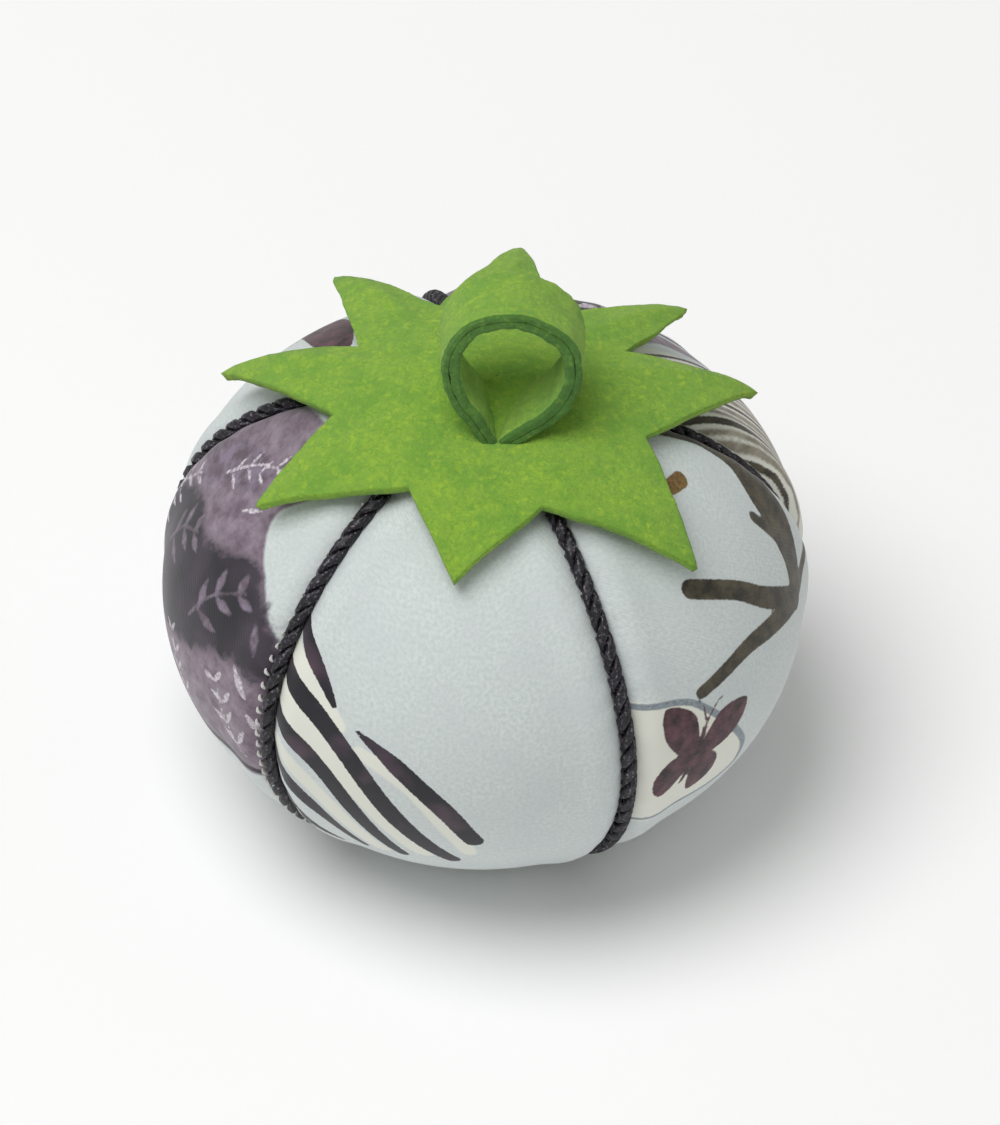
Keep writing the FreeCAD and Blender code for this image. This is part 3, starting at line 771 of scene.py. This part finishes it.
def make_stuffing(blank):
    """The filling that the cover is drawn over, closed at both poles."""
    bm = bmesh.new()
    bm.from_mesh(blank.data)
    bm.normal_update()
    middle = Vector((0, 0, GIRTH_Z)) * MM
    for vert in bm.verts:
        away = (vert.co - middle).normalized()
        vert.co -= away * (CLOTH_THICK + 0.5) * MM
    made = bmesh.ops.holes_fill(bm, edges=[e for e in bm.edges if e.is_boundary], sides=0)
    bmesh.ops.poke(bm, faces=made["faces"])
    piece = finished("stuffing_core", bm)
    keep(piece, "stuffing", [carded_fibre()], "filling")
    bpy.data.objects.remove(blank)


# ---- cords and sewing ---------------------------------------------------------------------

CORD_LIFT = 0.85        # a cord's middle, outside the bottom of its crease
CORD_TOP = 11.0         # from the axis to a cord's upper end, under the star
CORD_FOOT = 18.2        # from the axis to its lower end, beside the patch
TWIST = 4.8             # one full turn of the two plies
PLY_OUT = 0.4           # a ply's middle from the cord's middle
PLY_HALF = (0.44, 0.66)  # a ply's half thickness outwards and sideways


class Meridian:
    """The line that a cord follows down its seam, measured by its arc length."""

    def __init__(self, azimuth, lift, top, foot):
        self.out = Vector((math.sin(math.radians(azimuth)),
                           -math.cos(math.radians(azimuth)), 0))
        reach = VALLEY + lift
        start = math.acos(top / reach)
        angles = np.linspace(start, -math.acos(foot / reach), 400)
        rise = np.where(angles > 0, CROWN_RISE + lift, BELLY_DROP + lift)
        self.reach = reach * np.cos(angles)
        self.height = rise * np.sin(angles)
        steps = np.hypot(np.diff(self.reach), np.diff(self.height))
        self.run = np.concatenate([[0], np.cumsum(steps)])
        self.length = self.run[-1]

    def spot(self, run):
        reach = float(np.interp(run, self.run, self.reach))
        height = float(np.interp(run, self.run, self.height))
        return self.out * reach + UP * (height + GIRTH_Z)

    def frame(self, run):
        """Place, direction along, outward normal and sideways direction."""
        low = min(max(run, 0.3), self.length - 0.3)
        along = (self.spot(low + 0.3) - self.spot(low - 0.3)).normalized()
        side = self.out.cross(UP).normalized()
        return self.spot(run), along, side.cross(along).normalized(), side


def make_cord(name, azimuth):
    """Two plies laid round each other, snug in the seam."""
    line = Meridian(azimuth, CORD_LIFT - CREASE[name], CORD_TOP, CORD_FOOT)
    bm = bmesh.new()
    for ply in (0, 1):
        def place(column, row, ply=ply):
            run = column * line.length
            spot, _, out, side = line.frame(run)
            slip = 0.25 * wobble(run, azimuth, ply, 4.0)
            turn = 2 * math.pi * (run / TWIST + ply / 2) + slip
            radial = out * math.cos(turn) + side * math.sin(turn)
            round_it = side * math.cos(turn) - out * math.sin(turn)
            taper = min(1.0, 0.35 + (1 - abs(2 * column - 1)) * 40)
            plump = taper * (1 + 0.06 * wobble(run, azimuth, ply + 5, 1.5))
            spin = 2 * math.pi * row
            return (spot + radial * (PLY_OUT + PLY_HALF[0] * plump * math.cos(spin))
                    + round_it * PLY_HALF[1] * plump * math.sin(spin))
        tube(bm, 360, 12, place)
    piece = finished("cord_" + name, bm)
    keep(piece, "twisted_cord", [CORD_YARN], "seam_cord_" + name)


def stitch(bm, start, end, lift, radius):
    """One thread that rises from the cloth, crosses and goes back in."""
    across = end - start
    side = across.normalized()
    third = lift.normalized().cross(side)

    def place(column, row):
        arch = math.sin(math.pi * column)
        middle = start + across * column + lift * arch
        thin = radius * (0.55 + 0.45 * arch)
        spin = 2 * math.pi * row
        return middle + (lift.normalized() * math.cos(spin) + third * math.sin(spin)) * thin
    tube(bm, 7, 6, place)


STITCH_TOP = 5.5        # a cord's first stitch, from its upper end
THREAD = 0.22           # half the thickness of the doubled sewing thread


def make_cord_stitches(name, azimuth, thread, slot, show):
    """Slip stitches that catch a cord to the gore on its left."""
    line = Meridian(azimuth, 0.3 - CREASE[name] / 3, CORD_TOP, CORD_FOOT)
    arch = 0.5 if show > 0 else 0.1
    bm = bmesh.new()
    run = STITCH_TOP
    while run < line.length - 2:
        spot, along, out, side = line.frame(run)
        if side.dot(Vector((math.cos(math.radians(azimuth)),
                            math.sin(math.radians(azimuth)), 0))) > 0:
            side = -side
        slip = 0.12 * wobble(run, azimuth, 3, 1.3)
        bare = min(show, -0.15 + 2.8 * step(run / line.length, 0.3, 0.6))
        inner = spot + side * (CORD_RADIUS - 0.15) + out * 0.35 + along * 0.35
        outer = spot + side * (CORD_RADIUS + bare + slip) - out * 0.2 - along * 0.3
        stitch(bm, inner, outer, out * arch, THREAD)
        run += STITCH_PITCH * (1 + 0.08 * wobble(run, azimuth, 9, 2.0))
    piece = finished("stitches_" + name, bm)
    keep(piece, slot, [thread], "cord_stitches_" + name)


def make_cords():
    for name, azimuth in SEAMS.items():
        make_cord(name, azimuth)
        shown = name == "front_left"
        make_cord_stitches(name, azimuth, WHITE_THREAD if shown else DARK_THREAD,
                           "white_thread", 0.85 if shown else -0.15)


# ---- felt leaf star, stem loop and patch --------------------------------------------------

FELT_THICK = 1.1        # one layer of the star
STRIP_THICK = 1.6       # both layers of the stem loop at its pinched end
STAR_REACH = 30.0       # axis to the longest leaf tip
# Each corner of the leaf star: azimuth, reach as a share of the longest tip, and how
# high the felt's underside stands off the cushion there, in millimetres.
STAR = [(-8, 0.79, 2.0), (21, 0.57, 2.6), (50, 0.96, 3.2), (72, 0.59, 2.6),
        (104, 0.98, 4.8), (115, 0.54, 2.6), (130, 0.92, 5.2), (149, 0.46, 2.4),
        (172, 0.93, 4.9), (200, 0.47, 2.4), (214, 0.94, 5.0), (240, 0.51, 2.5),
        (250, 0.98, 4.8), (279, 0.53, 2.7), (296, 0.88, 3.6), (330, 0.52, 2.5)]
STAR_COLUMNS = 20       # faces along each straight side
STAR_ROWS = 30
DIMPLE = 1.3            # how far the stem loop's sewing draws the felt down
LOOP_FOOT = Vector((1.4, -8.3, 53.8))


def cushion_top(x, y):
    """Height of the crests' form above the table."""
    share = 1 - (x * x + y * y) / CREST ** 2
    return GIRTH_Z + CROWN_RISE * math.sqrt(max(share, 0.0))


def star_spot(column, row):
    """Flat shape of the star laid over the cushion, from its middle to its edge."""
    place = column * len(STAR)
    here, there = int(place) % len(STAR), (int(place) + 1) % len(STAR)
    share = place - int(place)
    corners = []
    for azimuth, reach, lift in (STAR[here], STAR[there]):
        turn = math.radians(azimuth)
        corners.append(Vector((reach * STAR_REACH * math.sin(turn),
                               -reach * STAR_REACH * math.cos(turn), lift)))
    edge = corners[0].lerp(corners[1], share)
    bow = math.sin(math.pi * share) * 0.35
    reach = math.hypot(edge.x, edge.y)
    x, y = [c * row * (1 + bow / reach) for c in (edge.x, edge.y)]
    x += 0.25 * wobble(x, y, 0, 4.0) * row
    y += 0.25 * wobble(x, y, 7, 4.0) * row
    out = math.hypot(x, y)
    lift = 2.1 + (edge.z - 2.1) * step(out, 10, STAR_REACH)
    lift += 0.3 * wobble(x, y, 2, 7.0) * step(out, 8, 16)
    sink = math.hypot(x - LOOP_FOOT.x, y - LOOP_FOOT.y - 3)
    lift -= DIMPLE * math.exp(-(sink / 6.0) ** 2)
    return Vector((x, y, cushion_top(x, y) + lift))


def soften(piece, width):
    """Rounds the sharp edges that cutting leaves, by a hair."""
    bevel = piece.modifiers.new("soft_edges", "BEVEL")
    bevel.width = width * MM
    bevel.segments = 2
    bevel.limit_method = "ANGLE"
    bevel.angle_limit = math.radians(40)


def felted(piece, height):
    """Roughens a felt surface with the small lumps that pressed fibre leaves."""
    finer = piece.modifiers.new("finer", "SUBSURF")
    finer.subdivision_type = "SIMPLE"
    finer.levels = finer.render_levels = 1
    lumps = bpy.data.textures.new("felt_lumps", "CLOUDS")
    lumps.noise_scale = 1.3 * MM
    lumps.noise_depth = 2
    rough = piece.modifiers.new("lumps", "DISPLACE")
    rough.texture = lumps
    rough.texture_coords = "LOCAL"
    rough.strength = height * MM
    rough.mid_level = 0.5


def make_star():
    bm = woven(bmesh.new(), STAR_COLUMNS * len(STAR), STAR_ROWS, star_spot)
    piece = finished("star_felt", bm)
    facing_out(piece)
    thicken(piece, FELT_THICK, 1)
    felted(piece, 0.2)
    keep(piece, "green_felt", [FELT], "leaf_star")


LOOP_DEEP = 8.5         # width of the folded strip
LOOP_LEAN = -10         # degrees that the loop leans back
LOOP_ROLL = 7           # degrees that it leans to the right
# The middle of the strip seen from the front, from one end round to the other.
LOOP_LINE = [(0.82, -1.8), (0.84, -1.1), (1.2, -0.2), (3.2, 1.5), (6.0, 4.5), (7.2, 8.9),
             (5.6, 13.1), (0.6, 15.3), (-4.5, 13.6), (-6.3, 9.6), (-5.3, 5.2), (-2.8, 2.0),
             (-1.2, -0.2), (-0.84, -1.1), (-0.82, -1.8)]
LOOP_STEPS = 150
LOOP_SWELL = 0.45       # how much the inner layer fluffs up away from the pinch
LOOP_PINCH = 14         # steps over which it does
CUT_DEPTH = 0.32        # how far back the cut edge's darker felt runs: cut fibre ends plus painted shade
SLIT = 0.012            # half the room between the strip's two layers
LOOP_STITCHES = 5       # down each side of the pinched end
PATCH_STITCHES = 28
PATCH_THREAD = 0.17     # half the thickness of the single thread


def loop_section():
    """The folded strip cut across: off the middle surface, and back from the front."""
    half, back = STRIP_THICK / 2, LOOP_DEEP
    return [(half, 0.3), (half, 2.0), (half, back - 1.2), (half * 0.85, back - 0.35),
            (half * 0.4, back), (-half * 0.4, back), (-half * 0.85, back - 0.35),
            (-half, back - 1.2), (-half, 2.0), (-half, 0.3), (-half + 0.25, 0.0),
            (-SLIT - 0.06, 0.0), (-SLIT, 0.1), (-SLIT / 2, 4.0), (SLIT / 2, 4.0),
            (SLIT, 0.1), (SLIT + 0.06, 0.0), (half - 0.25, 0.0)]


def loop_frame():
    """Where the loop's own front plane stands, at its pinched end."""
    lean = Matrix.Rotation(math.radians(LOOP_LEAN), 4, "X")
    roll = Matrix.Rotation(math.radians(LOOP_ROLL), 4, "Y")
    upright = Matrix.Rotation(math.radians(90), 4, "X")
    return Matrix.Translation(LOOP_FOOT) @ lean @ roll @ upright


def make_loop():
    """A felt strip folded double along its length and bent into a pinched loop."""
    line = smooth_line(LOOP_LINE, 16)
    run = np.concatenate([[0], np.cumsum(np.linalg.norm(np.diff(line, axis=0), axis=1))])
    section = loop_section()
    ring = np.array(section + section[:1])
    spot = loop_frame()

    def at(share):
        return np.array([np.interp(share * run[-1], run, line[:, k]) for k in (0, 1)])

    def place(column, row):
        here = at(column)
        ahead = at(min(column + 0.004, 1)) - at(max(column - 0.004, 0))
        out = np.array([ahead[1], -ahead[0]]) / np.linalg.norm(ahead)
        inset, back = [np.interp(row * len(section), np.arange(len(ring)), ring[:, k])
                       for k in (0, 1)]
        spread_out = 0.35 * math.sin(math.pi * column) * back / LOOP_DEEP
        if inset < 0:
            inset *= 1 + LOOP_SWELL * min(1, LOOP_STEPS * min(column, 1 - column)
                                          / LOOP_PINCH)
        inset += 0.07 * wobble(here[0], here[1], back, 2.2)
        x, y = here + out * (inset + spread_out)
        return spot @ Vector((x, y, -back + 0.12 * wobble(x, y, 3, 2.5)))
    bm = tube(bmesh.new(), LOOP_STEPS, len(section) * 3, place)
    piece = finished("loop_felt", bm)
    keep(piece, "green_felt", [FELT, FELT_EDGE_AND_SHADE], "stem_loop")
    felted(piece, 0.34)
    # The loop's front cut edge takes the darker felt, partly cut fibre ends and partly
    # painted shade.
    flatten = spot.inverted()
    for face in piece.data.polygons:
        if (flatten @ (face.center / MM)).z > -CUT_DEPTH:
            face.material_index = 1


def make_loop_stitches():
    """Short stitches down both sides of the loop's pinched end."""
    spot = loop_frame()
    bm = bmesh.new()
    for index in range(LOOP_STITCHES):
        back = LOOP_DEEP * (index + 0.5) / LOOP_STITCHES
        for hand in (-1, 1):
            foot = spot @ Vector((hand * 2.5, 1.3, -back))
            head = spot @ Vector((hand * 2.7 + 0.1, 2.3, -back - 0.3))
            lift = (spot.to_3x3() @ Vector((hand, -0.4, 0))) * 0.3
            stitch(bm, foot, head, lift, PATCH_THREAD)
    piece = finished("loop_thread", bm)
    keep(piece, "green_thread", [GREEN_THREAD], "stem_stitches")


def make_patch():
    """The felt disc sewn under the cushion, a little uneven at its rim."""
    def place(column, row):
        turn = 2 * math.pi * column
        reach = PATCH_RADIUS * row * (1 - 0.008 * (1 + wobble(math.sin(turn),
                                                              math.cos(turn), 0, 0.3)))
        return Vector((reach * math.cos(turn), reach * math.sin(turn), 0.0))
    bm = woven(bmesh.new(), 120, 18, place)
    piece = finished("patch_felt", bm)
    if piece.data.polygons[0].normal.z < 0:
        piece.data.flip_normals()
    # The patch's rim takes the darker cut-edge felt, with its painted shade.
    thicken(piece, PATCH_TOP, 1, rim=1)
    soften(piece, 0.25)
    keep(piece, "green_felt", [FELT, FELT_EDGE_AND_SHADE], "base_patch")


def make_patch_stitches():
    """Whip stitches over the patch's rim, into the gores."""
    bm = bmesh.new()
    for index in range(PATCH_STITCHES):
        turn = index + 0.5 + 0.2 * wobble(index, 0, 0, 1.7)
        turn *= 2 * math.pi / PATCH_STITCHES
        out = Vector((math.cos(turn), math.sin(turn), 0))
        foot = out * (PATCH_RADIUS - 0.5) + UP * 0.35
        head = out * (PATCH_RADIUS + 0.9) + UP * (PATCH_TOP + 0.5)
        stitch(bm, foot, head, (out - UP * 0.6) * 0.45, PATCH_THREAD)
    piece = finished("patch_thread", bm)
    keep(piece, "green_thread", [GREEN_THREAD], "patch_stitches")


blank = make_cover()
make_stuffing(blank)
make_cords()
make_star()
make_loop()
make_loop_stitches()
make_patch()
make_patch_stitches()

tie = bpy.data.objects["centre_tie"]
tie.data.materials.clear()
tie.data.materials.append(waxed_twine())


# ---- floor, light and camera --------------------------------------------------------------

def make_floor():
    """A wide white sheet under the cushion."""
    bm = bmesh.new()
    bmesh.ops.create_grid(bm, x_segments=1, y_segments=1, size=3.0)
    piece = finished("floor", bm)
    piece.data.materials.append(pale_paper())


def soft_light(name, spot, aim, size, watts):
    """A round lamp that faces its aim."""
    light = bpy.data.lights.new(name, "AREA")
    light.shape = "DISK"
    light.size = size
    light.energy = watts
    lamp = bpy.data.objects.new(name, light)
    lamp.location = spot
    lamp.rotation_euler = (Vector(aim) - Vector(spot)).to_track_quat("-Z", "Y").to_euler()
    bpy.context.scene.collection.objects.link(lamp)


ELEVATION = 44.1        # degrees above the table
CAMERA_AWAY = 2200      # from the aim
FIELD = 107.5           # width seen at the aim
AIM = (1.63, 1.18)      # the aim, rightwards and upwards of the girth's centre
FILM = 36
SKY = 0.42
WINDOW = (-0.32, -0.14, 1.04)   # in metres, as are the next two
WINDOW_AIM = (0, 0, 0.03)
WINDOW_SIZE = 0.8
WINDOW_WATTS = 8.0


def make_camera():
    elevation = math.radians(ELEVATION)
    up = Vector((0, math.sin(elevation), math.cos(elevation)))
    away = Vector((0, -math.cos(elevation), math.sin(elevation)))
    aim = (Vector((AIM[0], 0, GIRTH_Z)) + up * AIM[1]) * MM
    camera = bpy.data.objects.new("camera", bpy.data.cameras.new("camera"))
    camera.location = aim + away * CAMERA_AWAY * MM
    camera.rotation_euler = (-away).to_track_quat("-Z", "Y").to_euler()
    camera.data.sensor_fit = "HORIZONTAL"
    camera.data.sensor_width = FILM
    camera.data.lens = FILM * CAMERA_AWAY / FIELD
    bpy.context.scene.collection.objects.link(camera)
    bpy.context.scene.camera = camera


def make_world():
    world = bpy.data.worlds.new("soft_daylight")
    world.use_nodes = True
    sky = world.node_tree.nodes["Background"]
    sky.inputs["Color"].default_value = colour("#f8f8f6")
    sky.inputs["Strength"].default_value = SKY
    bpy.context.scene.world = world


make_floor()
make_world()
soft_light("window", WINDOW, WINDOW_AIM, WINDOW_SIZE, WINDOW_WATTS)
make_camera()
bpy.context.scene.view_settings.view_transform = "Standard"
